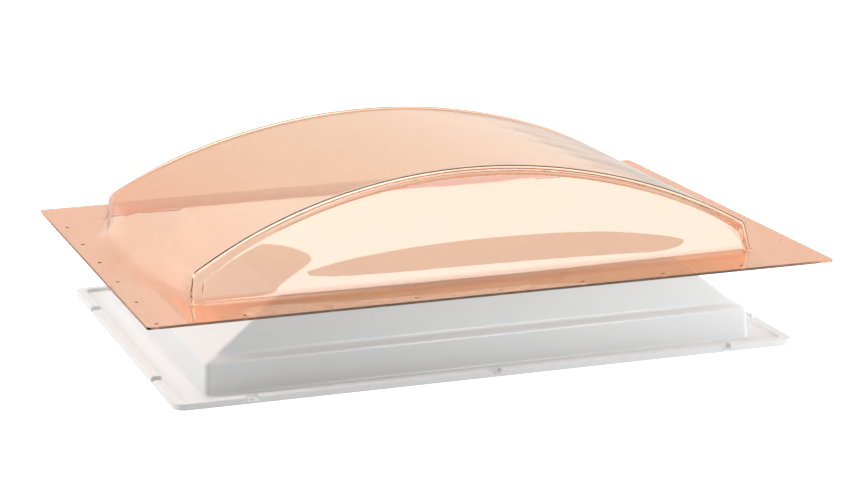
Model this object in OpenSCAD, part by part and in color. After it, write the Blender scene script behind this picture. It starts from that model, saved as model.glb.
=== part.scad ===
// Roof skylight: a tinted outer dome over a white inner dome with its ceiling flange.
// The origin is under the middle of the ceiling flange, with Z up and X along the long side.

/* [Outer dome] */
// Length of the outer dome's flange
flange_l = 864; // [780:1:1080]
// Width of the outer dome's flange
flange_w = 660; // [600:1:820]
// Corner radius of the outer dome's flange
flange_corner_r = 6; // [3:1:20]
// Flat margin from the flange's edge to the foot of the long walls
side_margin = 78; // [60:1:90]
// Flat margin from the flange's edge to the foot of the end walls
end_margin = 72; // [55:1:90]
// Thickness of the tinted sheet
dome_t = 3; // [2:0.5:5]
// Height of the short end walls above the flange
end_wall_h = 34; // [20:1:50]
// Height of the dome's crown above the flange
dome_rise = 127; // [120:1:160]
// Inward lean of the long walls, from upright
side_lean = 18; // [10:1:24]
// Inward lean of the end walls, from upright
end_lean = 8; // [4:1:20]
// Radius of the rolled bead along the two arched ridges
bead_r = 7; // [6:0.5:9]
// How far the bead stands proud of the sheet
bead_proud = 2; // [1.5:0.5:3]

/* [Roof screw holes] */
// Hole diameter
roof_hole_d = 4.5; // [3:0.5:6]
// From the flange's edge to the hole centres
roof_hole_inset = 14; // [10:1:25]
// Holes along each long side, corners included
roof_holes_long = 9; // [5:1:13]
// Holes along each short side, corners included
roof_holes_short = 7; // [3:1:9]

/* [Inner dome] */
// Thickness of the white sheet
frame_t = 3; // [2:0.5:5]
// Corner radius of the ceiling flange
frame_corner_r = 16; // [10:1:24]
// Width of the raised rim
rim_w = 13; // [9:1:18]
// Height of the raised rim
rim_h = 8; // [6:0.5:12]
// Floor between the rim and the foot of the end walls
end_channel_w = 31; // [20:1:40]
// Floor between the rim and the foot of the long walls
side_channel_w = 24.5; // [20:0.5:40]
// Height of the lower walls
wall_h = 42; // [30:1:60]
// Inward lean of the lower walls, from upright
wall_lean = 4; // [2:1:8]
// Width of the shoulder on top of the lower end walls
end_shoulder_w = 14; // [8:1:20]
// Width of the shoulder on top of the lower long walls
side_shoulder_w = 8; // [5:1:16]
// Rise of the shoulders
shoulder_rise = 7; // [4:0.5:12]
// From the foot of the outer dome's end wall in to the foot of the cap's end slope
cap_end_gap = 25; // [10:1:40]
// Slope of the cap's ends, from level
cap_end_slope = 39; // [34:1:50]
// Inward lean of the cap's long walls, from upright
cap_lean = 1.5; // [1:0.5:4]
// How far the cap's flat top stands above the outer dome's flange
cap_over_flange = 3; // [1:0.5:12]

/* [Ceiling screw holes] */
// Hole diameter
ceiling_hole_d = 5; // [3:0.5:6]
// Radius of the scallop cut in the rim at each screw
scallop_r = 9; // [7:0.5:12]
// From the ceiling flange's ends to the outer screws of each long side
long_screw_end = 94; // [60:1:150]
// From the ceiling flange's long edges to the screws of each short side
short_screw_end = 120; // [60:1:180]

/* [Together] */
// Height of the outer flange's underside above the ceiling face
flange_height = 110; // [90:1:120]
// Clearance between the outer dome's long walls and the cap's top edges
seat_gap = 0.3; // [0.1:0.1:0.6]

/* [Hidden] */
curve_fn = 240;
hole_fn = 48;
slack = 1;
reach = 2000;

dome_half_l = flange_l / 2 - end_margin;
dome_half_w = flange_w / 2 - side_margin;
flange_top = flange_height + dome_t;
dome_top = flange_top + dome_rise;
end_top_half_l = dome_half_l - end_wall_h * tan(end_lean);
arch_drop = dome_rise - end_wall_h;
arch_r = arc_radius(end_top_half_l, arch_drop);
arch_axis_z = dome_top - arch_r;

// The bead's centre line is a circle in a plane that leans with the long wall
bead_depth = bead_r - bead_proud;
bead_arch_r = arch_r - bead_depth;
bead_drop = bead_arch_r * (1 - sqrt(1 - pow(end_top_half_l / bead_arch_r, 2))) / cos(side_lean);
bead_ring_r = arc_radius(end_top_half_l, bead_drop);
bead_ring_up = bead_arch_r / cos(side_lean) - bead_ring_r;

cap_top = flange_top + cap_over_flange;
cap_foot = wall_h + shoulder_rise;
end_shoulder_lean = atan(end_shoulder_w / shoulder_rise);
side_shoulder_lean = atan(side_shoulder_w / shoulder_rise);
// Half the distance between the outer dome's inner wall faces, at the height of the cap's top
seat_half_w = dome_half_w - dome_t / cos(side_lean) - cap_over_flange * tan(side_lean);
cap_half_w = seat_half_w - seat_gap / cos(side_lean) + (cap_top - cap_foot) * tan(cap_lean);
cap_half_l = dome_half_l - cap_end_gap;
wall_half_w = cap_half_w + side_shoulder_w + wall_h * tan(wall_lean);
wall_half_l = cap_half_l + end_shoulder_w + wall_h * tan(wall_lean);
frame_l = 2 * (wall_half_l + end_channel_w + rim_w);
frame_w = 2 * (wall_half_w + side_channel_w + rim_w);

// Radius of the arc that spans twice half_span and rises by rise
function arc_radius(half_span, rise) = (half_span * half_span + rise * rise) / (2 * rise);

// What lies inside a plane through (distance, z) that leans inward from upright
module inside_plane(distance, z, lean, turn) {
    rotate([0, 0, turn]) translate([distance, 0, z]) rotate([0, -lean, 0])
        translate([-reach, -reach / 2, -reach / 2]) cube([reach, reach, reach]);
}

// A block between two heights, whose four walls pass through the half sizes at height z and lean inward
module leaning_block(half_l, half_w, z, lean_l, lean_w, low, high) {
    intersection() {
        translate([-reach / 2, -reach / 2, low]) cube([reach, reach, high - low]);
        inside_plane(half_l, z, lean_l, 0);
        inside_plane(half_l, z, lean_l, 180);
        inside_plane(half_w, z, lean_w, 90);
        inside_plane(half_w, z, lean_w, 270);
    }
}

// A long round bar across the dome, whose top is the crown
module crown_bar(r, top) {
    translate([0, 0, top - r]) rotate([90, 0, 0])
        cylinder(h = reach, r = r, center = true, $fn = curve_fn);
}

module rounded_plate(l, w, r, low, high) {
    translate([0, 0, low]) linear_extrude(high - low) union() {
        square([l - 2 * r, w], center = true);
        square([l, w - 2 * r], center = true);
        for (x = [-1, 1], y = [-1, 1]) translate([x * (l / 2 - r), y * (w / 2 - r)]) circle(r, $fn = hole_fn);
    }
}

// The outer dome's closed form, with every face moved inward by t
module dome_form(t, low) {
    intersection() {
        leaning_block(dome_half_l - t / cos(end_lean), dome_half_w - t / cos(side_lean), flange_top,
            end_lean, side_lean, low, dome_top);
        crown_bar(arch_r - t, dome_top - t);
    }
    for (turn = [0, 180]) rotate([0, 0, turn]) ridge_bead(t);
}

// The round bar of one ridge's bead, cut off flush with the end walls
module ridge_bead(t) {
    intersection() {
        translate([0, dome_half_w - bead_depth / cos(side_lean) - (arch_axis_z - flange_top) * tan(side_lean),
            arch_axis_z])
            rotate([90 + side_lean, 0, 0]) translate([0, bead_ring_up, 0])
                rotate_extrude($fn = curve_fn) translate([bead_ring_r, 0]) circle(bead_r - t, $fn = hole_fn);
        leaning_block(dome_half_l - t / cos(end_lean), reach / 2, flange_top, end_lean, 0,
            flange_top + end_wall_h / 2, reach / 2);
    }
}

module outer_dome() {
    step_long = (flange_l - 2 * roof_hole_inset) / (roof_holes_long - 1);
    step_short = (flange_w - 2 * roof_hole_inset) / (roof_holes_short - 1);
    color([0.93, 0.68, 0.50, 0.55]) difference() {
        union() {
            rounded_plate(flange_l, flange_w, flange_corner_r, flange_height, flange_top);
            dome_form(0, flange_height + dome_t / 2);
        }
        dome_form(dome_t, flange_height - slack);
        for (i = [0 : roof_holes_long - 1], y = [-1, 1])
            roof_hole(i * step_long - flange_l / 2 + roof_hole_inset, y * (flange_w / 2 - roof_hole_inset));
        for (i = [1 : roof_holes_short - 2], x = [-1, 1])
            roof_hole(x * (flange_l / 2 - roof_hole_inset), i * step_short - flange_w / 2 + roof_hole_inset);
    }
}

module roof_hole(x, y) {
    translate([x, y, flange_height - slack])
        cylinder(h = dome_t + 2 * slack, d = roof_hole_d, $fn = hole_fn);
}

// The inner dome's closed form, its walls, shoulders and cap, with every face moved inward by t
module inner_form(t, low) {
    intersection() {
        leaning_block(wall_half_l - t / cos(wall_lean), wall_half_w - t / cos(wall_lean), 0,
            wall_lean, wall_lean, low, cap_foot);
        leaning_block(cap_half_l - t / cos(end_shoulder_lean), cap_half_w - t / cos(side_shoulder_lean), cap_foot,
            end_shoulder_lean, side_shoulder_lean, low, cap_foot);
    }
    leaning_block(cap_half_l - t / sin(cap_end_slope), cap_half_w - t / cos(cap_lean), cap_foot,
        90 - cap_end_slope, cap_lean, cap_foot - t - slack, cap_top - t);
}

module inner_dome() {
    rim_mid = rim_w / 2;
    color([0.95, 0.95, 0.94]) difference() {
        union() {
            rounded_plate(frame_l, frame_w, frame_corner_r, 0, frame_t);
            difference() {
                rounded_plate(frame_l, frame_w, frame_corner_r, frame_t / 2, rim_h);
                rounded_plate(frame_l - 2 * rim_w, frame_w - 2 * rim_w, frame_corner_r - rim_mid, 0, rim_h + slack);
            }
            inner_form(0, frame_t / 2);
        }
        inner_form(frame_t, -slack);
        for (x = [-1 : 1], y = [-1, 1])
            ceiling_screw(x * (frame_l / 2 - long_screw_end), y * (frame_w / 2 - rim_mid));
        for (x = [-1, 1], y = [-1, 1])
            ceiling_screw(x * (frame_l / 2 - rim_mid), y * (frame_w / 2 - short_screw_end));
    }
}

// A scallop through the rim, with a screw hole in the floor that it leaves
module ceiling_screw(x, y) {
    translate([x, y, frame_t]) cylinder(h = rim_h, r = scallop_r, $fn = hole_fn);
    translate([x, y, -slack]) cylinder(h = rim_h, d = ceiling_hole_d, $fn = hole_fn);
}

outer_dome();
inner_dome();
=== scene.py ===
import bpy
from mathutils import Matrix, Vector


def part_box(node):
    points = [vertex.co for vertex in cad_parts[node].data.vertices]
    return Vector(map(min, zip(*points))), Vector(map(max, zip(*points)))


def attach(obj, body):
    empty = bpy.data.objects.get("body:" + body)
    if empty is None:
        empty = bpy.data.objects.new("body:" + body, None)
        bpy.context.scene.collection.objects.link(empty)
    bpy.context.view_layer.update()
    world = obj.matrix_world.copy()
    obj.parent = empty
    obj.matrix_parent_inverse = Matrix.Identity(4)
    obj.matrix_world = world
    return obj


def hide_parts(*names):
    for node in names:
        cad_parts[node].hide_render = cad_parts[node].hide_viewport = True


bl_info = {
    "name": "Roof Skylight",
    "version": (1, 0, 0),
    "blender": (4, 5, 0),
    "location": "3D View > Sidebar > Skylight",
    "description": "A tinted outer dome over a white inner dome with its ceiling flange",
    "category": "Add Mesh",
}

from math import atan2, cos, pi, radians, sin, sqrt, tan

import bmesh
import bpy
from mathutils import Matrix, Vector

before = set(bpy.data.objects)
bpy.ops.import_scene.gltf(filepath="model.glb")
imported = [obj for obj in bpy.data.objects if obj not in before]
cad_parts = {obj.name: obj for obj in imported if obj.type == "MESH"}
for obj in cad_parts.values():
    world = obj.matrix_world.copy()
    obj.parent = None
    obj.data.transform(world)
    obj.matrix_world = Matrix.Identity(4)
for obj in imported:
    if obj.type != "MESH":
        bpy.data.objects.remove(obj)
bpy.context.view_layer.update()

MM = 0.001
outer_low, outer_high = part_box("outer_dome")
_, inner_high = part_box("inner_dome")


# ---------------------------------------------------------------- sizes and colours

def length(name, description, default, low=0.0):
    return bpy.props.FloatProperty(name=name, description=description, default=default, min=low,
                                   unit="LENGTH", subtype="DISTANCE", precision=4)


def angle(name, description, degrees):
    return bpy.props.FloatProperty(name=name, description=description, default=radians(degrees),
                                   unit="ROTATION", subtype="ANGLE")


def colour(name, description, default):
    return bpy.props.FloatVectorProperty(name=name, description=description, default=default,
                                         size=3, min=0, max=1, subtype="COLOR")


def number(name, description, default, low=0.0):
    return bpy.props.FloatProperty(name=name, description=description, default=default, min=low)


def count(name, description, default):
    return bpy.props.IntProperty(name=name, description=description, default=default, min=2)


class OuterDomeSizes(bpy.types.PropertyGroup):
    """Sizes of the tinted outer dome"""
    flange_half_length: length("Flange half length", "From the middle to the flange's end", outer_high.x)
    flange_half_width: length("Flange half width", "From the middle to the flange's long edge", outer_high.y)
    sheet: length("Sheet", "Thickness of the tinted sheet", 3 * MM)
    corner: length("Flange corner", "Corner radius of the flange", 6 * MM)
    foot_half_length: length("Foot half length", "From the middle to the foot of an end wall", 360 * MM)
    foot_half_width: length("Foot half width", "From the middle to the foot of a long wall", 252 * MM)
    rise: length("Rise", "Height of the crown above the flange", 127 * MM)
    end_height: length("End height", "Height of the end walls", 34 * MM)
    side_lean: angle("Side lean", "Inward lean of the long walls", 18)
    end_lean: angle("End lean", "Inward lean of the end walls", 8)
    bead_radius: length("Bead radius", "Radius of the rolled bead along the ridges", 7 * MM)
    bead_proud: length("Bead proud", "How far the bead stands proud of the sheet", 1.95 * MM)
    end_sweep: length("End sweep", "How far the middle of an end wall's foot is swept out", 32 * MM)
    wall_bow: length("Wall bow", "How far the long walls belly out at the middle", 6 * MM)
    foot_flare: length("Foot flare", "How far the long walls flare out just above the flange", 3.6 * MM)
    plan_bow: length("Plan bow", "How far the long walls belly out between their ends", 4 * MM)
    hole_diameter: length("Hole diameter", "Roof screw holes", 4.5 * MM)
    hole_inset: length("Hole inset", "From the flange's edge to the hole centres", 14 * MM)
    holes_long: count("Holes, long side", "Roof screw holes, corners included", 9)
    holes_short: count("Holes, short side", "Roof screw holes, corners included", 7)


class InnerDomeSizes(bpy.types.PropertyGroup):
    """Sizes of the white inner dome"""
    half_length: length("Half length", "From the middle to the ceiling flange's end", inner_high.x)
    half_width: length("Half width", "From the middle to the ceiling flange's long edge", inner_high.y)
    top: length("Top", "Height of the cap above the ceiling face", inner_high.z)
    sheet: length("Sheet", "Thickness of the white sheet", 3 * MM)
    rim_width: length("Rim width", "Width of the raised rim", 13 * MM)
    rim_height: length("Rim height", "Height of the raised rim", 8 * MM)
    scallop: length("Scallop", "Radius of the scallop at each ceiling screw", 9 * MM)
    hole_diameter: length("Hole diameter", "Ceiling screw holes", 5 * MM)


class Finishes(bpy.types.PropertyGroup):
    """Colours of the two sheets"""
    flange_tint: colour("Flange tint", "Tint where the sheet kept its full thickness", (0.92, 0.52, 0.355))
    # Margin tint is painted shade, not a dye: the flange beside the long walls is darkened where shade falls
    # there
    margin_painted_shade: colour("Margin tint", "Tint of the flange beside the long walls", (0.57, 0.378, 0.258))
    wall_tint: colour("Wall tint", "Tint of the long walls", (0.94, 0.68, 0.535))
    shoulder_tint: colour("Shoulder tint", "Tint of the roof near its ends", (1.0, 0.63, 0.46))
    crown_tint: colour("Crown tint", "Tint where the roof was drawn thin at the crown", (1.0, 0.83, 0.68))
    edge_tint: colour("Edge tint", "Colour of light that runs along inside the sheet", (0.75, 0.42, 0.28))
    edge_density: number("Edge density", "How quickly the sheet darkens along its own length", 3.0)
    plastic: colour("Plastic", "The white sheet", (0.88, 0.885, 0.89))


class StageSettings(bpy.types.PropertyGroup):
    """Camera, floor and light"""
    lens: number("Lens", "Focal length in millimetres", 113.885)
    look_turn: angle("Look turn", "The camera's heading, from +Y toward +X", 18.303)
    look_down: angle("Look down", "How far the camera looks down", 13.341)
    roll: angle("Roll", "Turn of the camera about its own axis", 0.932)
    backdrop: number("Backdrop", "Brightness of the floor and of what stands behind the part", 1.6)
    floor_glow: number("Floor glow", "Light that the translucent floor throws on the part", 0.42)
    horizon: number("Horizon", "Brightness of the room at eye level, as the part mirrors it", 0.88)
    surround: number("Surround", "Brightness of the room higher up", 0.64)
    shade: number("Shade", "Brightness of the room in front and to the left", 0.08)
    softbox: number("Softbox", "Brightness of the softbox that the long wall mirrors", 8.5)
    top_lamp: number("Top lamp", "Power of the large lamp above, in watts", 72.0)
    side_lamp: number("Side lamp", "Power of the lamp at the left, in watts", 22.0)
    fill_lamp: number("Fill lamp", "Power of the lamp low at the right, in watts", 9.5)


PROPERTY_GROUPS = {
    "skylight_outer": OuterDomeSizes,
    "skylight_inner": InnerDomeSizes,
    "skylight_finish": Finishes,
    "skylight_stage": StageSettings,
}


# ---------------------------------------------------------------- small helpers

ROD_SEGMENTS = 40


def smooth(low, high, value):
    t = min(max((value - low) / (high - low), 0.0), 1.0)
    return t * t * (3 - 2 * t)


def mix(a, b, t):
    return a + (b - a) * t


def spread(low, high, count):
    """count values after low, up to and including high."""
    return [mix(low, high, (k + 1) / count) for k in range(count)]


def bent(start, corner, end, count):
    """count points after start on the soft bend that turns at corner."""
    points = []
    for t in spread(0, 1, count):
        u = 1 - t
        points.append(tuple(u * u * s + 2 * u * t * c + t * t * e for s, c, e in zip(start, corner, end)))
    return points


def arc(centre, radius, start, end, count):
    return [(centre[0] + radius * cos(a), centre[1] + radius * sin(a)) for a in spread(start, end, count)]


def piece(name, mesh, material, node):
    made = bpy.data.objects.new(name, mesh)
    bpy.context.scene.collection.objects.link(made)
    mesh.materials.clear()
    mesh.materials.append(material)
    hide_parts(node)
    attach(made, "root")
    return made


def mesh_from(bm, name):
    mesh = bpy.data.meshes.new(name)
    bm.to_mesh(mesh)
    bm.free()
    return mesh


def cutters(rods):
    """One mesh of upright rods, each given as x, y, radius, low and high."""
    bm = bmesh.new()
    for x, y, radius, low, high in rods:
        bmesh.ops.create_cone(bm, cap_ends=True, segments=ROD_SEGMENTS, radius1=radius, radius2=radius,
                              depth=high - low, matrix=Matrix.Translation((x, y, (low + high) / 2)))
    return mesh_from(bm, "cutters")


def finished(mesh, rods, thickness=0.0):
    """The mesh with its wall thickness and its holes applied."""
    scene = bpy.context.scene
    blank = bpy.data.objects.new("blank", mesh)
    tool = bpy.data.objects.new("tool", cutters(rods))
    scene.collection.objects.link(blank)
    scene.collection.objects.link(tool)
    if thickness:
        wall = blank.modifiers.new("wall", "SOLIDIFY")
        wall.thickness = thickness
        wall.offset = -1
        wall.use_even_offset = False
    cut = blank.modifiers.new("holes", "BOOLEAN")
    cut.object = tool
    cut.operation = "DIFFERENCE"
    cut.solver = "MANIFOLD"
    bpy.context.view_layer.update()
    graph = bpy.context.evaluated_depsgraph_get()
    result = bpy.data.meshes.new_from_object(blank.evaluated_get(graph))
    for made in (blank, tool):
        bpy.data.objects.remove(made)
    return result


def shade(mesh, limit):
    """Smooth faces, with a crease wherever two faces meet at more than the limit."""
    bm = bmesh.new()
    bm.from_mesh(mesh)
    for face in bm.faces:
        face.smooth = True
    for edge in bm.edges:
        edge.smooth = edge.calc_face_angle(0) < limit
    bm.to_mesh(mesh)
    bm.free()


# ---------------------------------------------------------------- node groups and materials

# Sockets of a Mix node that have no name of their own
FACTOR, COLOUR_A, COLOUR_B, MIXED_COLOUR = 0, 6, 7, 2
NUMBER_A, NUMBER_B = 2, 3

# Where one tint of the acrylic gives way to the next, and where the painted shade band on the flange begins:
# none of it, then all of it
WALL_INSET = (14 * MM, 6 * MM)
FLANGE_HEIGHT = (10 * MM, 4 * MM)
# Painted shade band beside the long walls: across from the wall's foot, then fading out along it past the end
# walls' feet
SHADE_BAND_INSET = (0.0, -16 * MM)
SHADE_BAND_PAST_END = (15 * MM, -110 * MM)

ACRYLIC_IOR, ACRYLIC_ROUGHNESS, CUT_ROUGHNESS = 1.49, 0.015, 0.65
ACRYLIC_MOTTLE = (0.985, 0.96, 0.94)
ACRYLIC_SHADOW = (0.92, 0.91, 0.90)
PLASTIC_IOR, PLASTIC_ROUGHNESS, PLASTIC_MOTTLE, CUT_SHARE = 1.5, (0.30, 0.42), 0.975, 0.2


def socket(tree, name, kind, default=None, output=False):
    made = tree.interface.new_socket(name=name, in_out="OUTPUT" if output else "INPUT", socket_type=kind)
    if default is not None:
        made.default_value = default
    return made


def node(tree, kind, **values):
    made = tree.nodes.new(kind)
    for key, value in values.items():
        setattr(made, key, value)
    return made


def formed_surface():
    """Slow waves left by forming the sheet, and the fine grain of its skin."""
    name = "Formed surface"
    if name in bpy.data.node_groups:
        return bpy.data.node_groups[name]
    tree = bpy.data.node_groups.new(name, "ShaderNodeTree")
    socket(tree, "Vector", "NodeSocketVector")
    socket(tree, "Wave scale", "NodeSocketFloat", 6.0)
    socket(tree, "Wave height", "NodeSocketFloat", 1.0)
    socket(tree, "Grain scale", "NodeSocketFloat", 900.0)
    socket(tree, "Grain height", "NodeSocketFloat", 0.05)
    socket(tree, "Height", "NodeSocketFloat", output=True)
    socket(tree, "Mottle", "NodeSocketFloat", output=True)
    inside = node(tree, "NodeGroupInput")
    outside = node(tree, "NodeGroupOutput")
    link = tree.links.new
    wave = node(tree, "ShaderNodeTexNoise")
    wave.inputs["Detail"].default_value = 1.0
    link(inside.outputs["Vector"], wave.inputs["Vector"])
    link(inside.outputs["Wave scale"], wave.inputs["Scale"])
    grain = node(tree, "ShaderNodeTexNoise")
    grain.inputs["Detail"].default_value = 3.0
    link(inside.outputs["Vector"], grain.inputs["Vector"])
    link(inside.outputs["Grain scale"], grain.inputs["Scale"])
    tall = node(tree, "ShaderNodeMath", operation="MULTIPLY")
    link(wave.outputs["Fac"], tall.inputs[0])
    link(inside.outputs["Wave height"], tall.inputs[1])
    low = node(tree, "ShaderNodeMath", operation="MULTIPLY")
    link(grain.outputs["Fac"], low.inputs[0])
    link(inside.outputs["Grain height"], low.inputs[1])
    total = node(tree, "ShaderNodeMath", operation="ADD")
    link(tall.outputs[0], total.inputs[0])
    link(low.outputs[0], total.inputs[1])
    link(total.outputs[0], outside.inputs["Height"])
    mottle = node(tree, "ShaderNodeTexNoise")
    mottle.inputs["Scale"].default_value = 14.0
    mottle.inputs["Detail"].default_value = 4.0
    link(inside.outputs["Vector"], mottle.inputs["Vector"])
    link(mottle.outputs["Fac"], outside.inputs["Mottle"])
    return tree


def edge_mask():
    """White on the cut edges of a flange, from the distance to its outline."""
    name = "Cut edge"
    if name in bpy.data.node_groups:
        return bpy.data.node_groups[name]
    tree = bpy.data.node_groups.new(name, "ShaderNodeTree")
    socket(tree, "Vector", "NodeSocketVector")
    socket(tree, "Half length", "NodeSocketFloat", 1.0)
    socket(tree, "Half width", "NodeSocketFloat", 1.0)
    socket(tree, "Margin", "NodeSocketFloat", 0.0004)
    socket(tree, "Mask", "NodeSocketFloat", output=True)
    inside = node(tree, "NodeGroupInput")
    outside = node(tree, "NodeGroupOutput")
    link = tree.links.new
    size = node(tree, "ShaderNodeVectorMath", operation="ABSOLUTE")
    link(inside.outputs["Vector"], size.inputs[0])
    split = node(tree, "ShaderNodeSeparateXYZ")
    link(size.outputs[0], split.inputs[0])
    masks = []
    for axis, half in (("X", "Half length"), ("Y", "Half width")):
        line = node(tree, "ShaderNodeMath", operation="SUBTRACT")
        link(inside.outputs[half], line.inputs[0])
        link(inside.outputs["Margin"], line.inputs[1])
        past = node(tree, "ShaderNodeMath", operation="GREATER_THAN")
        link(split.outputs[axis], past.inputs[0])
        link(line.outputs[0], past.inputs[1])
        masks.append(past)
    either = node(tree, "ShaderNodeMath", operation="MAXIMUM")
    link(masks[0].outputs[0], either.inputs[0])
    link(masks[1].outputs[0], either.inputs[1])
    link(either.outputs[0], outside.inputs["Mask"])
    return tree


def grouped(tree, group, coordinates, **values):
    made = tree.nodes.new("ShaderNodeGroup")
    made.node_tree = group
    tree.links.new(coordinates, made.inputs["Vector"])
    for key, value in values.items():
        made.inputs[key.replace("_", " ")].default_value = value
    return made


def new_material(name):
    made = bpy.data.materials.new(name)
    made.use_nodes = True
    tree = made.node_tree
    tree.nodes.clear()
    place = node(tree, "ShaderNodeTexCoord")
    shader = node(tree, "ShaderNodeBsdfPrincipled")
    output = node(tree, "ShaderNodeOutputMaterial")
    return made, tree, place.outputs["Object"], shader, output


def drawn_tint():
    """The sheet's colour: deepest in the flat flange, lighter where the vault was drawn thin, with painted
    shade darkening the flange beside the long walls.
    """
    name = "Drawn tint"
    if name in bpy.data.node_groups:
        return bpy.data.node_groups[name]
    tree = bpy.data.node_groups.new(name, "ShaderNodeTree")
    socket(tree, "Vector", "NodeSocketVector")
    for key in ("Flange", "Margin", "Wall", "Shoulder", "Crown"):
        socket(tree, key, "NodeSocketColor", (1, 1, 1, 1))
    for key in ("Flange height", "Crown height", "Foot half length", "Foot half width", "Wall slope"):
        socket(tree, key, "NodeSocketFloat", 0.1)
    socket(tree, "Color", "NodeSocketColor", output=True)
    inside = node(tree, "NodeGroupInput")
    outside = node(tree, "NodeGroupOutput")
    link = tree.links.new
    split = node(tree, "ShaderNodeSeparateXYZ")
    link(inside.outputs["Vector"], split.inputs[0])
    above = node(tree, "ShaderNodeMath", operation="SUBTRACT")
    link(split.outputs["Z"], above.inputs[0])
    link(inside.outputs["Flange height"], above.inputs[1])
    drawn = node(tree, "ShaderNodeMapRange", interpolation_type="SMOOTHSTEP")
    link(split.outputs["Z"], drawn.inputs["Value"])
    link(inside.outputs["Flange height"], drawn.inputs["From Min"])
    link(inside.outputs["Crown height"], drawn.inputs["From Max"])
    side = node(tree, "ShaderNodeMath", operation="ABSOLUTE")
    link(split.outputs["Y"], side.inputs[0])
    leaned = node(tree, "ShaderNodeMath", operation="MULTIPLY_ADD")
    link(above.outputs[0], leaned.inputs[0])
    link(inside.outputs["Wall slope"], leaned.inputs[1])
    link(side.outputs[0], leaned.inputs[2])
    inset = node(tree, "ShaderNodeMath", operation="SUBTRACT")
    link(inside.outputs["Foot half width"], inset.inputs[0])
    link(leaned.outputs[0], inset.inputs[1])
    wall = node(tree, "ShaderNodeMapRange", interpolation_type="SMOOTHSTEP")
    link(inset.outputs[0], wall.inputs["Value"])
    wall.inputs["From Min"].default_value = WALL_INSET[0]
    wall.inputs["From Max"].default_value = WALL_INSET[1]
    flat = node(tree, "ShaderNodeMapRange", interpolation_type="SMOOTHSTEP")
    link(above.outputs[0], flat.inputs["Value"])
    flat.inputs["From Min"].default_value = FLANGE_HEIGHT[0]
    flat.inputs["From Max"].default_value = FLANGE_HEIGHT[1]
    outside_wall = node(tree, "ShaderNodeMapRange", interpolation_type="SMOOTHSTEP")
    outside_wall.inputs["From Min"].default_value = SHADE_BAND_INSET[0]
    outside_wall.inputs["From Max"].default_value = SHADE_BAND_INSET[1]
    link(inset.outputs[0], outside_wall.inputs["Value"])
    along = node(tree, "ShaderNodeMath", operation="ABSOLUTE")
    link(split.outputs["X"], along.inputs[0])
    past = node(tree, "ShaderNodeMath", operation="SUBTRACT")
    link(along.outputs[0], past.inputs[0])
    link(inside.outputs["Foot half length"], past.inputs[1])
    between_ends = node(tree, "ShaderNodeMapRange", interpolation_type="SMOOTHSTEP")
    between_ends.inputs["From Min"].default_value = SHADE_BAND_PAST_END[0]
    between_ends.inputs["From Max"].default_value = SHADE_BAND_PAST_END[1]
    link(past.outputs[0], between_ends.inputs["Value"])
    beside = node(tree, "ShaderNodeMath", operation="MULTIPLY")
    link(outside_wall.outputs[0], beside.inputs[0])
    link(between_ends.outputs[0], beside.inputs[1])
    # Painted shade: the flange beside the long walls, between the end walls, takes the darker Margin colour
    shade_band = node(tree, "ShaderNodeMath", operation="MULTIPLY")
    link(beside.outputs[0], shade_band.inputs[0])
    link(flat.outputs[0], shade_band.inputs[1])
    colours = None
    for share, low, high in ((drawn, "Shoulder", "Crown"), (wall, None, "Wall"), (flat, None, "Flange"),
                             (shade_band, None, "Margin")):
        blend = node(tree, "ShaderNodeMix", data_type="RGBA")
        link(share.outputs[0], blend.inputs[FACTOR])
        link(colours.outputs[MIXED_COLOUR] if colours else inside.outputs[low], blend.inputs[COLOUR_A])
        link(inside.outputs[high], blend.inputs[COLOUR_B])
        colours = blend
    link(colours.outputs[MIXED_COLOUR], outside.inputs["Color"])
    return tree


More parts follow.
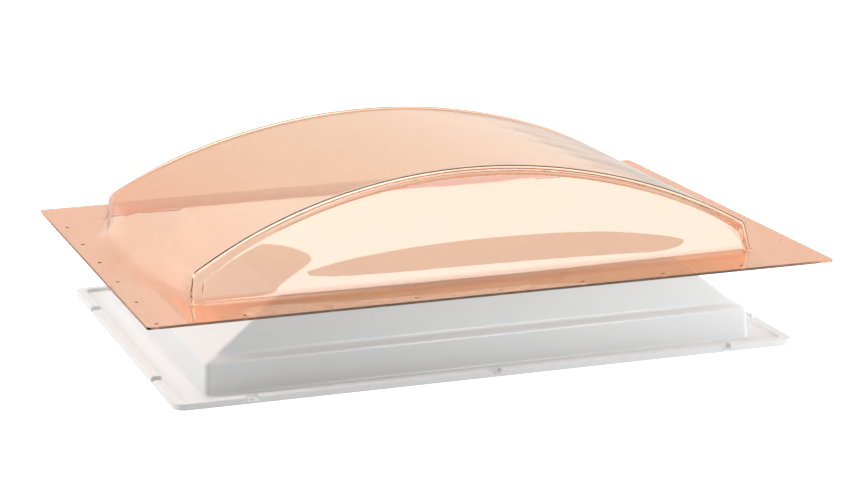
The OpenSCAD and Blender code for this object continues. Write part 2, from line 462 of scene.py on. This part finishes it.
def tinted_acrylic(finish, sizes):
    made, tree, place, shader, output = new_material("tinted_acrylic")
    link = tree.links.new
    # The Margin colour is painted shade on the flange beside the long walls
    tint = grouped(tree, drawn_tint(), place, Flange=(*finish.flange_tint, 1), Wall=(*finish.wall_tint, 1),
                   Margin=(*finish.margin_painted_shade, 1), Foot_half_length=sizes.foot_half_length,
                   Shoulder=(*finish.shoulder_tint, 1), Crown=(*finish.crown_tint, 1),
                   Flange_height=outer_low.z + sizes.sheet, Crown_height=outer_high.z,
                   Foot_half_width=sizes.foot_half_width, Wall_slope=tan(sizes.side_lean))
    surface = grouped(tree, formed_surface(), place, Wave_scale=7.0, Wave_height=1.0,
                      Grain_scale=420.0, Grain_height=0.004)
    cut = grouped(tree, edge_mask(), place, Half_length=sizes.flange_half_length,
                  Half_width=sizes.flange_half_width)
    streak = node(tree, "ShaderNodeMix", data_type="RGBA", blend_type="MULTIPLY")
    streak.inputs[COLOUR_B].default_value = (*ACRYLIC_MOTTLE, 1)
    link(surface.outputs["Mottle"], streak.inputs[FACTOR])
    link(tint.outputs["Color"], streak.inputs[COLOUR_A])
    link(streak.outputs[MIXED_COLOUR], shader.inputs["Base Color"])
    rough = node(tree, "ShaderNodeMapRange")
    rough.inputs["To Min"].default_value = ACRYLIC_ROUGHNESS
    rough.inputs["To Max"].default_value = CUT_ROUGHNESS
    link(cut.outputs["Mask"], rough.inputs["Value"])
    link(rough.outputs[0], shader.inputs["Roughness"])
    bump = node(tree, "ShaderNodeBump")
    bump.inputs["Strength"].default_value = 0.25
    bump.inputs["Distance"].default_value = 0.0012
    link(surface.outputs["Height"], bump.inputs["Height"])
    link(bump.outputs[0], shader.inputs["Normal"])
    shader.inputs["IOR"].default_value = ACRYLIC_IOR
    shader.inputs["Transmission Weight"].default_value = 1.0
    # Light from the lamps and the room passes straight through, so that the sheet casts no hard shadow
    clear = node(tree, "ShaderNodeBsdfTransparent")
    clear.inputs["Color"].default_value = (*ACRYLIC_SHADOW, 1)
    path = node(tree, "ShaderNodeLightPath")
    passing = node(tree, "ShaderNodeMath", operation="MAXIMUM")
    link(path.outputs["Is Shadow Ray"], passing.inputs[0])
    link(path.outputs["Is Diffuse Ray"], passing.inputs[1])
    either = node(tree, "ShaderNodeMixShader")
    link(passing.outputs[0], either.inputs[0])
    link(shader.outputs[0], either.inputs[1])
    link(clear.outputs[0], either.inputs[2])
    link(either.outputs[0], output.inputs["Surface"])
    depth = node(tree, "ShaderNodeVolumeAbsorption")
    depth.inputs["Color"].default_value = (*finish.edge_tint, 1)
    depth.inputs["Density"].default_value = finish.edge_density
    link(depth.outputs[0], output.inputs["Volume"])
    return made


def white_plastic(finish, sizes):
    made, tree, place, shader, output = new_material("white_plastic")
    link = tree.links.new
    surface = grouped(tree, formed_surface(), place, Wave_scale=9.0, Wave_height=0.8,
                      Grain_scale=650.0, Grain_height=0.05)
    cut = grouped(tree, edge_mask(), place, Half_length=sizes.half_length, Half_width=sizes.half_width)
    skin = node(tree, "ShaderNodeMix", data_type="RGBA")
    skin.inputs[COLOUR_A].default_value = (*finish.plastic, 1)
    skin.inputs[COLOUR_B].default_value = (*[c * PLASTIC_MOTTLE for c in finish.plastic], 1)
    link(surface.outputs["Mottle"], skin.inputs[FACTOR])
    link(skin.outputs[MIXED_COLOUR], shader.inputs["Base Color"])
    rough = node(tree, "ShaderNodeMapRange")
    rough.inputs["To Min"].default_value = PLASTIC_ROUGHNESS[0]
    rough.inputs["To Max"].default_value = PLASTIC_ROUGHNESS[1]
    link(surface.outputs["Mottle"], rough.inputs["Value"])
    edge = node(tree, "ShaderNodeMath", operation="MULTIPLY_ADD")
    edge.inputs[1].default_value = CUT_SHARE
    link(cut.outputs["Mask"], edge.inputs[0])
    link(rough.outputs[0], edge.inputs[2])
    link(edge.outputs[0], shader.inputs["Roughness"])
    bump = node(tree, "ShaderNodeBump")
    bump.inputs["Strength"].default_value = 0.3
    bump.inputs["Distance"].default_value = 0.0008
    link(surface.outputs["Height"], bump.inputs["Height"])
    link(bump.outputs[0], shader.inputs["Normal"])
    shader.inputs["IOR"].default_value = PLASTIC_IOR
    link(shader.outputs[0], output.inputs["Surface"])
    return made


# ---------------------------------------------------------------- outer dome

ROOF_ROWS, FILLET_ROWS, BEAD_ROWS, WALL_ROWS, FOOT_ROWS, SIDE_FLANGE_ROWS = 34, 3, 10, 18, 7, 7
ARCH_COLUMNS, BROW_COLUMNS, END_COLUMNS, END_FOOT_COLUMNS, END_FLANGE_COLUMNS = 44, 7, 8, 7, 6
LOW_SECTION = 20 * MM
FILLET = 3 * MM
FOOT_FILLET = 6 * MM
PLAN_CORNER = 12 * MM
CORNER_RAMP = 70 * MM
BELLY_LOW = 0.38
BELLY_BLEND = 0.35
FLARE_HEIGHT = 23 * MM
# Length of the soft bends at the top and the foot of an end wall: at its corners, then halfway along it
BROW_BEND = (5 * MM, 46 * MM)
FOOT_BEND = (6 * MM, 30 * MM)
# The most that a bend may take of the end wall's own length
BEND_SHARE = 0.45
# Ridge at the dome's corners, where the bead has faded out
PLAIN_RIDGE_RADIUS, PLAIN_RIDGE_PROUD = 10 * MM, 0.3 * MM
# From the end wall's foot inward: where the bead starts and is full, then where the long wall's belly does
BEAD_FADE = (6 * MM, 110 * MM)
BELLY_FADE = (25 * MM, 300 * MM)
# How far inside the wall's foot the rows of the ridge, bead and wall gather as the dome runs out
ROW_GATHER = 26 * MM
CORNER_SEGMENTS = 6


def crown_line(sizes, x):
    """Height of the arch above the flange, and its slope."""
    half = sizes.foot_half_length - sizes.end_height * tan(sizes.end_lean)
    drop = sizes.rise - sizes.end_height
    radius = (half * half + drop * drop) / (2 * drop)
    run = sqrt(radius * radius - x * x)
    return sizes.rise - radius + run, -x / run


def long_profile(sizes, middle):
    """Points (x, height) from the crown to the flange's end.

    middle is 1 halfway along the end wall and 0 at its corners.
    """
    top_x = sizes.foot_half_length - sizes.end_height * tan(sizes.end_lean)
    foot_x = sizes.foot_half_length + sizes.end_sweep * middle
    soft = smooth(0.70, 0.99, middle)
    brow = mix(*BROW_BEND, soft)
    foot = mix(*FOOT_BEND, smooth(0.3, 0.99, middle))
    start_x = top_x - brow
    start_h, slope = crown_line(sizes, start_x)
    wall_slope = -sizes.end_height / (foot_x - top_x)
    corner_x = (start_h - slope * start_x + wall_slope * foot_x) / (wall_slope - slope)
    corner_h = start_h + slope * (corner_x - start_x)
    wall_run = sqrt((foot_x - corner_x) ** 2 + corner_h ** 2)
    along = ((foot_x - corner_x) / wall_run, -corner_h / wall_run)
    brow_run, foot_run = min(brow, wall_run * BEND_SHARE), min(foot, wall_run * BEND_SHARE)
    brow_end = (corner_x + along[0] * brow_run, corner_h + along[1] * brow_run)
    foot_start = (foot_x - along[0] * foot_run, -along[1] * foot_run)
    points = [(0.0, sizes.rise)]
    points += [(x, crown_line(sizes, x)[0]) for x in spread(0, start_x, ARCH_COLUMNS)]
    points += bent(points[-1], (corner_x, corner_h), brow_end, BROW_COLUMNS)
    points += [(mix(brow_end[0], foot_start[0], t), mix(brow_end[1], foot_start[1], t))
               for t in spread(0, 1, END_COLUMNS)]
    points += bent(foot_start, (foot_x, 0), (foot_x + foot, 0), END_FOOT_COLUMNS)
    points += [(x, 0.0) for x in spread(foot_x + foot, sizes.flange_half_length, END_FLANGE_COLUMNS)]
    return points


def flat_section(sizes):
    """Where each row of the section lies once the dome has run out into the flange."""
    inner = sizes.foot_half_width - ROW_GATHER
    rows = [(y, 0.0) for y in [0.0] + spread(0, inner, ROOF_ROWS)]
    rows += [(y, 0.0) for y in spread(inner, sizes.foot_half_width, 2 * FILLET_ROWS + BEAD_ROWS + WALL_ROWS)]
    rows += [(y, 0.0) for y in spread(sizes.foot_half_width, sizes.foot_half_width + FOOT_FILLET, FOOT_ROWS)]
    return rows + [(y, 0.0) for y in spread(rows[-1][0], sizes.flange_half_width, SIDE_FLANGE_ROWS)]


def bulge(up):
    """How far out the wall's belly is at this share of its height, 1 where it is fullest."""
    low, high = up / BELLY_LOW, (1 - up) / (1 - BELLY_LOW)
    t = min(max(0.5 + 0.5 * (high - low) / BELLY_BLEND, 0.0), 1.0)
    return max(0.0, mix(high, low, t) - BELLY_BLEND * t * (1 - t))


def full_section(sizes, height, bead, belly, flare):
    """Half of the dome's section where it is this high: roof, rolled bead, long wall, foot and flange."""
    lean = sizes.side_lean
    radius = mix(PLAIN_RIDGE_RADIUS, sizes.bead_radius, bead)
    proud = mix(PLAIN_RIDGE_PROUD, sizes.bead_proud, bead)
    depth = radius - proud
    centre_z = height - depth
    centre_y = (sizes.foot_half_width * cos(lean) - depth - centre_z * sin(lean)) / cos(lean)
    reach = sqrt((radius + FILLET) ** 2 - (depth + FILLET) ** 2)
    start = atan2(depth + FILLET, -reach)
    axis = (pi / 2 + lean) / 2
    roof_end = centre_y - reach
    rows = [(y, height) for y in [0.0] + spread(0, roof_end, ROOF_ROWS)]
    fillet = arc((roof_end, height + FILLET), FILLET, -pi / 2, start - pi, FILLET_ROWS)
    rows += fillet
    rows += arc((centre_y, centre_z), radius, start, 2 * axis - start, BEAD_ROWS)
    across = (cos(2 * axis), sin(2 * axis))
    for y, z in reversed([(roof_end, height)] + fillet[:-1]):
        y, z = y - centre_y, z - centre_z
        rows.append((centre_y + y * across[0] + z * across[1], centre_z + y * across[1] - z * across[0]))
    foot_y = sizes.foot_half_width + FOOT_FILLET * (1 - sin(lean)) / cos(lean)
    wall_top = rows[-1]
    wall_foot = (foot_y - FOOT_FILLET * cos(lean), FOOT_FILLET * (1 - sin(lean)))
    for t in spread(0, 1, WALL_ROWS):
        y, z = mix(wall_top[0], wall_foot[0], t), mix(wall_top[1], wall_foot[1], t)
        out = belly * bulge(1 - t) + flare * max(0.0, 1 - z / FLARE_HEIGHT) ** 2
        rows.append((y + out * cos(lean), z + out * sin(lean)))
    shift = rows[-1][0] - wall_foot[0]
    rise = rows[-1][1] - wall_foot[1]
    foot = arc((foot_y, FOOT_FILLET), FOOT_FILLET, pi + lean, 1.5 * pi, FOOT_ROWS)
    rows += [(y + shift, z + rise * z / wall_foot[1]) for y, z in foot]
    return rows + [(y, 0.0) for y in spread(foot_y + shift, sizes.flange_half_width, SIDE_FLANGE_ROWS)]


def section(sizes, height, x):
    """The dome's section at x, where the arch or the end wall stands this high."""
    bead = smooth(sizes.foot_half_length - BEAD_FADE[0], sizes.foot_half_length - BEAD_FADE[1], x)
    tall = max(height, LOW_SECTION)
    middle = smooth(sizes.foot_half_length - BELLY_FADE[0], sizes.foot_half_length - BELLY_FADE[1], x)
    rows = full_section(sizes, tall, bead, sizes.wall_bow * middle, sizes.foot_flare * middle)
    if height < LOW_SECTION:
        t = height / LOW_SECTION
        rows = [(mix(flat[0], full[0], t), full[1] * t) for flat, full in zip(flat_section(sizes), rows)]
    return rows


def pressed_point(sizes, profile, row, column):
    """Where the press puts the point of this row and column, counted from the middle of the sheet."""
    x, height = profile[column]
    y, z = section(sizes, height, x)[row]
    wall_y = sizes.foot_half_width - z * tan(sizes.side_lean)
    side = min(max((y - wall_y) / PLAN_CORNER + 1, 0.0), 1.0)
    turn_in = PLAN_CORNER * (1 - sqrt(1 - side * side))
    if column <= ARCH_COLUMNS:
        share = max(0.0, 1 - (profile[ARCH_COLUMNS][0] - x) / CORNER_RAMP) ** 2
    else:
        flange_start = profile[-1 - END_FLANGE_COLUMNS][0]
        share = min(1.0, (sizes.flange_half_length - x) / (sizes.flange_half_length - flange_start))
    x -= turn_in * share
    bow = sizes.plan_bow * max(0.0, 1 - (x / sizes.foot_half_length) ** 2)
    y += bow * smooth(0, sizes.foot_half_width, y) * smooth(sizes.flange_half_width, sizes.foot_half_width, y)
    return x, y, z


def press(sizes):
    """A flat grid pressed into the dome's outer face, with the flange's corners rounded."""
    columns = ARCH_COLUMNS + BROW_COLUMNS + END_COLUMNS + END_FOOT_COLUMNS + END_FLANGE_COLUMNS
    rows = ROOF_ROWS + 2 * FILLET_ROWS + BEAD_ROWS + WALL_ROWS + FOOT_ROWS + SIDE_FLANGE_ROWS
    table = []
    for row in range(rows + 1):
        middle = max(0.0, 1 - (row / ROOF_ROWS) ** 2)
        profile = long_profile(sizes, middle)
        table.append([pressed_point(sizes, profile, row, column) for column in range(columns + 1)])
    bm = bmesh.new()
    bmesh.ops.create_grid(bm, x_segments=2 * columns, y_segments=2 * rows, size=1.0)
    level = outer_low.z + sizes.sheet
    for vert in bm.verts:
        column = round(vert.co.x * columns)
        row = round(vert.co.y * rows)
        x, y, z = table[abs(row)][abs(column)]
        vert.co = (x if column >= 0 else -x, y if row >= 0 else -y, z + level)
    corners = [vert for vert in bm.verts if len(vert.link_edges) == 2]
    bmesh.ops.bevel(bm, geom=corners, offset=sizes.corner, offset_type="OFFSET", segments=CORNER_SEGMENTS,
                    profile=0.5, affect="VERTICES", material=-1)
    if sum(face.normal.z for face in bm.faces) < 0:
        bmesh.ops.reverse_faces(bm, faces=bm.faces)
    return mesh_from(bm, "outer_dome_skin")


# How far the cutting rods reach past the sheet
ROD_SPARE = 2 * MM


def roof_holes(sizes):
    """Rods that cut the roof screw holes round the flange."""
    x_edge = sizes.flange_half_length - sizes.hole_inset
    y_edge = sizes.flange_half_width - sizes.hole_inset
    along = [-x_edge] + spread(-x_edge, x_edge, sizes.holes_long - 1)
    across = spread(-y_edge, y_edge, sizes.holes_short - 1)[:-1]
    places = [(x, y) for x in along for y in (-y_edge, y_edge)]
    places += [(x, y) for y in across for x in (-x_edge, x_edge)]
    low, high = outer_low.z - ROD_SPARE, outer_low.z + sizes.sheet + ROD_SPARE
    return [(x, y, sizes.hole_diameter / 2, low, high) for x, y in places]


# ---------------------------------------------------------------- inner dome

RING_STEPS = 9
FOLD_SEGMENTS = 4
# From the ceiling flange's ends and long edges to its screws
LONG_SCREW_END, SHORT_SCREW_END = 94 * MM, 120 * MM


def set_ring(verts, half_l, half_w, corner, z):
    """Moves the ring's vertices onto a rounded rectangle at height z."""
    for k, vert in enumerate(verts):
        turn = (k + 0.5) * pi / (2 * RING_STEPS)
        across = 1 if cos(turn) > 0 else -1
        along = 1 if sin(turn) > 0 else -1
        x = across * (half_l - corner) + corner * cos(turn)
        y = along * (half_w - corner) + corner * sin(turn)
        vert.co = (x, y, z)


def inner_rings(sizes):
    """Half length, half width, corner radius, height and fold radius of each ring."""
    l, w, top, t = sizes.half_length, sizes.half_width, sizes.top, sizes.sheet
    rim, rim_top = sizes.rim_width, sizes.rim_height
    return [
        # Underside: cap, cap's foot, shoulder, foot of the lower walls
        (251.2 * MM, 244.6 * MM, 4 * MM, top - t, 2 * MM),
        (332.5 * MM, 246.5 * MM, 5 * MM, 47 * MM, 2 * MM),
        (346.1 * MM, 254.4 * MM, 6 * MM, 40.3 * MM, 2 * MM),
        (348.93 * MM, 257.24 * MM, 6 * MM, 0.0, 2 * MM),
        # Rim: outside low and high, inside high and low
        (l, w, 16 * MM, 0.0, 0.6 * MM),
        (l, w, 16 * MM, rim_top, 1.6 * MM),
        (l - rim, w - rim, 9.5 * MM, rim_top, 1.6 * MM),
        (l - rim, w - rim, 9.5 * MM, t, 1.6 * MM),
        # Upper side: foot of the lower walls, shoulder, cap's foot, cap
        (351.73 * MM, 260.04 * MM, 9 * MM, t, 3 * MM),
        (349.0 * MM, 257.31 * MM, 8 * MM, 42 * MM, 3 * MM),
        (335.0 * MM, 249.31 * MM, 7 * MM, 49 * MM, 3.5 * MM),
        (252.26 * MM, 247.56 * MM, 5 * MM, top, 3.5 * MM),
    ]


def fold_up(sizes):
    """The white sheet, drawn ring by ring from under the cap, down, out, up the rim and back to its top."""
    bm = bmesh.new()
    bmesh.ops.create_circle(bm, cap_ends=True, radius=1.0, segments=4 * RING_STEPS)
    rings = inner_rings(sizes)
    ring = sorted(bm.verts, key=lambda v: atan2(v.co.y, v.co.x) % (2 * pi))
    edges = list(bm.edges)
    set_ring(ring, *rings[0][:4])
    folds = [(ring, rings[0][4])]
    for *size, fold in rings[1:]:
        old_ring = {vert.co.copy().freeze(): k for k, vert in enumerate(ring)}
        made = bmesh.ops.extrude_edge_only(bm, edges=edges)["geom"]
        edges = [part for part in made if isinstance(part, bmesh.types.BMEdge)]
        fresh = [part for part in made if isinstance(part, bmesh.types.BMVert)]
        ring = sorted(fresh, key=lambda v: old_ring[v.co.copy().freeze()])
        set_ring(ring, *size)
        folds.append((ring, fold))
    bmesh.ops.contextual_create(bm, geom=edges)
    for ring, fold in folds:
        around = set(ring)
        edges = {e for v in ring for e in v.link_edges if e.other_vert(v) in around}
        bmesh.ops.bevel(bm, geom=list(edges), offset=fold, offset_type="OFFSET", segments=FOLD_SEGMENTS,
                        profile=0.5, affect="EDGES", clamp_overlap=True, material=-1)
    bmesh.ops.recalc_face_normals(bm, faces=bm.faces)
    return mesh_from(bm, "inner_dome_sheet")


def ceiling_screws(sizes):
    """Rods that cut the rim's scallops and, under each, its screw hole."""
    l, w, mid = sizes.half_length, sizes.half_width, sizes.rim_width / 2
    places = [(x * (l - LONG_SCREW_END), y * (w - mid)) for x in (-1, 0, 1) for y in (-1, 1)]
    places += [(x * (l - mid), y * (w - SHORT_SCREW_END)) for x in (-1, 1) for y in (-1, 1)]
    rods = []
    for x, y in places:
        rods.append((x, y, sizes.scallop, sizes.sheet, sizes.rim_height * 2))
        rods.append((x, y, sizes.hole_diameter / 2, -sizes.rim_height, sizes.sheet + MM))
    return rods


# ---------------------------------------------------------------- stage

CAMERA_PLACE = Vector((-1.06751, -3.29384, 0.92371))
# The side of the room that is left dark, seen from the part
DARK_SIDE = Vector((-0.15, -0.98, 0.10))
FLOOR_REACH = 30
SOFTBOX_DISTANCE = 3.2


def aim(settings):
    """The camera's place and turn."""
    heading, down, roll = settings.look_turn, settings.look_down, settings.roll
    forward = Vector((sin(heading) * cos(down), cos(heading) * cos(down), -sin(down)))
    level = Vector((cos(heading), -sin(heading), 0))
    upright = level.cross(forward)
    right = level * cos(roll) - upright * sin(roll)
    up = right.cross(forward)
    turn = Matrix((right, up, -forward)).transposed()
    return Matrix.Translation(CAMERA_PLACE) @ turn.to_4x4()


# Colour of the room and the floor as the part mirrors them
MIRRORED_ROOM = (1.0, 0.92, 0.85)


def make_world(settings):
    """The room: white to the eye, and as the part mirrors it, pale at eye level and dark on one side."""
    world = bpy.data.worlds.new("studio")
    world.use_nodes = True
    tree = world.node_tree
    tree.nodes.clear()
    link = tree.links.new
    path = node(tree, "ShaderNodeLightPath")
    seen = node(tree, "ShaderNodeMath", operation="MAXIMUM")
    link(path.outputs["Is Camera Ray"], seen.inputs[0])
    link(path.outputs["Is Transmission Ray"], seen.inputs[1])
    place = node(tree, "ShaderNodeTexCoord")
    front = node(tree, "ShaderNodeVectorMath", operation="DOT_PRODUCT")
    front.inputs[1].default_value = DARK_SIDE.normalized()
    link(place.outputs["Generated"], front.inputs[0])
    split = node(tree, "ShaderNodeSeparateXYZ")
    link(place.outputs["Generated"], split.inputs[0])
    higher = node(tree, "ShaderNodeMapRange", interpolation_type="SMOOTHSTEP")
    higher.inputs["From Min"].default_value = 0.05
    higher.inputs["From Max"].default_value = 0.36
    higher.inputs["To Min"].default_value = settings.horizon
    higher.inputs["To Max"].default_value = settings.surround
    link(split.outputs["Z"], higher.inputs["Value"])
    fall = node(tree, "ShaderNodeMapRange", interpolation_type="SMOOTHSTEP")
    fall.inputs["From Min"].default_value = -0.1
    fall.inputs["From Max"].default_value = 0.8
    fall.inputs["To Max"].default_value = settings.shade
    link(higher.outputs[0], fall.inputs["To Min"])
    link(front.outputs["Value"], fall.inputs["Value"])
    level = node(tree, "ShaderNodeMix", data_type="FLOAT")
    level.inputs[NUMBER_B].default_value = settings.backdrop
    link(seen.outputs[0], level.inputs[FACTOR])
    link(fall.outputs[0], level.inputs[NUMBER_A])
    warmth = node(tree, "ShaderNodeMix", data_type="RGBA")
    warmth.inputs[COLOUR_A].default_value = (1, 1, 1, 1)
    warmth.inputs[COLOUR_B].default_value = (*MIRRORED_ROOM, 1)
    link(path.outputs["Is Glossy Ray"], warmth.inputs[FACTOR])
    background = node(tree, "ShaderNodeBackground")
    link(warmth.outputs[MIXED_COLOUR], background.inputs["Color"])
    link(level.outputs[0], background.inputs["Strength"])
    output = node(tree, "ShaderNodeOutputWorld")
    link(background.outputs[0], output.inputs["Surface"])
    bpy.context.scene.world = world


def floor_shader(settings):
    """A pale matt floor, plain white to the eye and as bright as the horizon to what mirrors it."""
    made = plain_shader("floor", (0.55, 0.55, 0.55), (1, 1, 1), settings.floor_glow)
    tree = made.node_tree
    link = tree.links.new
    path = node(tree, "ShaderNodeLightPath")
    seen = node(tree, "ShaderNodeMath", operation="MAXIMUM")
    link(path.outputs["Is Camera Ray"], seen.inputs[0])
    link(path.outputs["Is Transmission Ray"], seen.inputs[1])
    shown = tree.nodes["Principled BSDF"].outputs[0]
    for mask, strength, tone in ((seen.outputs[0], settings.backdrop, (1, 1, 1)),
                                 (path.outputs["Is Glossy Ray"], settings.horizon, MIRRORED_ROOM)):
        flat = node(tree, "ShaderNodeEmission")
        flat.inputs["Color"].default_value = (*tone, 1)
        flat.inputs["Strength"].default_value = strength
        either = node(tree, "ShaderNodeMixShader")
        link(mask, either.inputs[0])
        link(shown, either.inputs[1])
        link(flat.outputs[0], either.inputs[2])
        shown = either.outputs[0]
    link(shown, tree.nodes["Material Output"].inputs["Surface"])
    return made


def plain_shader(name, colour_value, glow, strength):
    made = bpy.data.materials.new(name)
    made.use_nodes = True
    shader = made.node_tree.nodes["Principled BSDF"]
    shader.inputs["Base Color"].default_value = (*colour_value, 1)
    shader.inputs["Roughness"].default_value = 0.9
    shader.inputs["Specular IOR Level"].default_value = 0.0
    shader.inputs["Emission Color"].default_value = (*glow, 1)
    shader.inputs["Emission Strength"].default_value = strength
    return made


# Outline of the softbox, across and up, in the plane where it stands
SOFTBOX = [(0.37, 0.86), (2.05, 0.86), (2.05, 1.12), (1.68, 1.20), (1.68, 3.60), (0.37, 3.60)]


def stage_card(name, corners, material):
    bm = bmesh.new()
    bmesh.ops.contextual_create(bm, geom=[bm.verts.new(corner) for corner in corners])
    mesh = mesh_from(bm, name)
    mesh.materials.append(material)
    made = bpy.data.objects.new(name, mesh)
    bpy.context.scene.collection.objects.link(made)
    return made


def lamp(name, size, power, matrix):
    light = bpy.data.lights.new(name, "AREA")
    light.shape = "DISK"
    light.size = size
    light.energy = power
    made = bpy.data.objects.new(name, light)
    made.matrix_world = matrix
    made.visible_camera = False
    bpy.context.scene.collection.objects.link(made)
    return made


def facing(turn, lift, distance, target):
    """The matrix of a lamp that faces target, from this heading (from -Y toward +X) and height."""
    out = Vector((sin(turn) * cos(lift), -cos(turn) * cos(lift), sin(lift)))
    return Matrix.Translation(target + out * distance) @ out.to_track_quat("Z", "Y").to_matrix().to_4x4()


# ---------------------------------------------------------------- operators

class SKYLIGHT_OT_inner_dome(bpy.types.Operator):
    """Make the white inner dome with its ceiling flange"""
    bl_idname = "skylight.inner_dome"
    bl_label = "Inner dome"
    bl_options = {"REGISTER", "UNDO"}

    def execute(self, context):
        sizes = context.scene.skylight_inner
        mesh = finished(fold_up(sizes), ceiling_screws(sizes))
        if not mesh.polygons:
            raise RuntimeError("the inner dome came out empty")
        shade(mesh, radians(38))
        finish = context.scene.skylight_finish
        piece("inner_dome_shell", mesh, white_plastic(finish, sizes), "inner_dome")
        return {"FINISHED"}


class SKYLIGHT_OT_outer_dome(bpy.types.Operator):
    """Make the tinted outer dome with its screw holes"""
    bl_idname = "skylight.outer_dome"
    bl_label = "Outer dome"
    bl_options = {"REGISTER", "UNDO"}

    def execute(self, context):
        sizes = context.scene.skylight_outer
        mesh = finished(press(sizes), roof_holes(sizes), sizes.sheet)
        if not mesh.polygons:
            raise RuntimeError("the outer dome came out empty")
        shade(mesh, radians(40))
        finish = context.scene.skylight_finish
        piece("outer_dome_shell", mesh, tinted_acrylic(finish, sizes), "outer_dome")
        return {"FINISHED"}


class SKYLIGHT_OT_stage(bpy.types.Operator):
    """Make the floor, the lights and the camera"""
    bl_idname = "skylight.stage"
    bl_label = "Stage"
    bl_options = {"REGISTER", "UNDO"}

    def execute(self, context):
        settings = context.scene.skylight_stage
        context.scene.view_settings.view_transform = "Standard"
        make_world(settings)
        corners = [(x * FLOOR_REACH, y * FLOOR_REACH, 0) for x, y in ((-1, -1), (1, -1), (1, 1), (-1, 1))]
        stage_card("floor", corners, floor_shader(settings))
        glow = plain_shader("softbox", (0, 0, 0), (1, 1, 0.99), settings.softbox)
        box = stage_card("softbox", [(x, -SOFTBOX_DISTANCE, z) for x, z in SOFTBOX], glow)
        box.visible_camera = False
        box.visible_diffuse = False
        box.visible_shadow = False
        box.visible_transmission = False
        middle = Vector((0, 0, 0.1))
        lamp("top_lamp", 3.0, settings.top_lamp, facing(radians(-150), radians(74), 3.5, middle))
        lamp("side_lamp", 1.2, settings.side_lamp, facing(radians(-104), radians(22), 3.0, middle))
        fill = lamp("fill_lamp", 0.6, settings.fill_lamp, facing(radians(52), radians(8), 1.6, middle))
        fill.visible_glossy = False
        lens = bpy.data.cameras.new("camera")
        lens.lens = settings.lens
        lens.clip_start = 0.05
        lens.clip_end = 200
        camera = bpy.data.objects.new("camera", lens)
        camera.matrix_world = aim(settings)
        context.scene.collection.objects.link(camera)
        context.scene.camera = camera
        return {"FINISHED"}


class SKYLIGHT_PT_panel(bpy.types.Panel):
    """Lists the skylight's pieces"""
    bl_idname = "SKYLIGHT_PT_panel"
    bl_label = "Roof Skylight"
    bl_space_type = "VIEW_3D"
    bl_region_type = "UI"
    bl_category = "Skylight"

    def draw(self, context):
        column = self.layout.column()
        for operator in OPERATORS:
            column.operator(operator.bl_idname)
        for name, group in PROPERTY_GROUPS.items():
            box = self.layout.box()
            box.label(text=group.__doc__)
            for key in group.__annotations__:
                box.prop(getattr(context.scene, name), key)


OPERATORS = (SKYLIGHT_OT_inner_dome, SKYLIGHT_OT_outer_dome, SKYLIGHT_OT_stage)
CLASSES = tuple(PROPERTY_GROUPS.values()) + OPERATORS + (SKYLIGHT_PT_panel,)


def register():
    for made in CLASSES:
        bpy.utils.register_class(made)
    for name, group in PROPERTY_GROUPS.items():
        setattr(bpy.types.Scene, name, bpy.props.PointerProperty(type=group))


def unregister():
    for name in PROPERTY_GROUPS:
        delattr(bpy.types.Scene, name)
    for made in reversed(CLASSES):
        bpy.utils.unregister_class(made)


def main():
    register()
    bpy.ops.skylight.inner_dome()
    bpy.ops.skylight.outer_dome()
    bpy.ops.skylight.stage()


if __name__ == "__main__":
    main()
